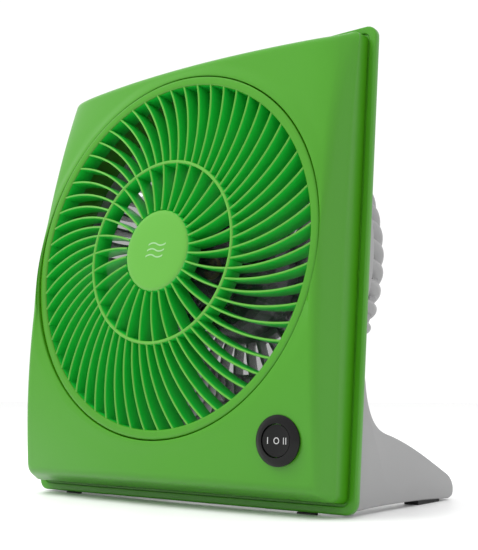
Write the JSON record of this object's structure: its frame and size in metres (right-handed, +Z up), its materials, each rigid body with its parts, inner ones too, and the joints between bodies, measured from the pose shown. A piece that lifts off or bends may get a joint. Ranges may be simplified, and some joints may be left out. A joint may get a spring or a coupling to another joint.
{
  "type": "desk fan",
  "caption": "Compact desk fan: square front panel leaning back on a shell with two side legs, spiral front grille, domed rear guard, impeller on a motor and a round rocker switch.",
  "frame": {"origin": "on the floor, below the middle of the whole fan's bounding box", "axes": "+X to the right seen from the front, +Y from the front panel to the guard, +Z up"},
  "size_m": [0.242, 0.1452, 0.2696],
  "materials": {
    "panel_green": "gloss",
    "badge_print": "satin",
    "shell_grey": "satin",
    "screw_steel": "satin",
    "pad_rubber": "matte",
    "blade_smoke": "gloss",
    "black_plastic": "satin",
    "shaft_steel": "polished",
    "lamination_steel": "satin",
    "cast_aluminium": "satin",
    "washer_plastic": "satin",
    "bearing_bronze": "satin",
    "copper_wire": "gloss",
    "bracket_black": "satin",
    "lead_sheath": "satin",
    "switch_black": "gloss",
    "terminal_brass": "satin",
    "mark_grey": "matte"
  },
  "bodies": {
    "housing": {"front_panel": "panel_green", "front_grille": "panel_green", "hub_badge": "badge_print", "rear_shell": "shell_grey", "rear_guard": "shell_grey", "panel_screws": "screw_steel", "guard_screws": "screw_steel", "side_legs": "shell_grey", "leg_screws": "screw_steel", "rear_foot_pads": "pad_rubber", "front_foot_pads": "pad_rubber", "front_bearing": "bearing_bronze", "rear_bearing": "bearing_bronze", "stator_core": "lamination_steel", "stator_coils": "copper_wire", "motor_front_bracket": "bracket_black", "motor_rear_bracket": "bracket_black", "motor_tie_screws": "screw_steel", "motor_grommets": "pad_rubber", "motor_mount_screws": "screw_steel", "motor_lead": "lead_sheath", "lead_clip": "black_plastic", "switch_body": "switch_black", "switch_terminals": "terminal_brass", "switch_nut": "black_plastic", "cord_gland": "black_plastic"},
    "impeller": {"impeller": "blade_smoke", "impeller_nut": "black_plastic", "motor_shaft": "shaft_steel", "rotor_core": "lamination_steel", "rotor_end_rings": "cast_aluminium", "thrust_washers": "washer_plastic"},
    "rocker": {"switch_rocker": "switch_black", "rocker_marks": "mark_grey"}
  },
  "joints": [
    {"name": "impeller_spin", "type": "hinge", "parent": "housing", "child": "impeller", "pos_m": [0, -0.03078, 0.14212], "axis": [0, -0.9938, 0.1115], "continuous": true},
    {"name": "rocker_tilt", "type": "hinge", "parent": "housing", "child": "rocker", "pos_m": [0.08943, -0.06764, 0.03896], "axis": [0.0038, 0.0432, 0.9991], "range_deg": [-8, 8]}
  ]
}
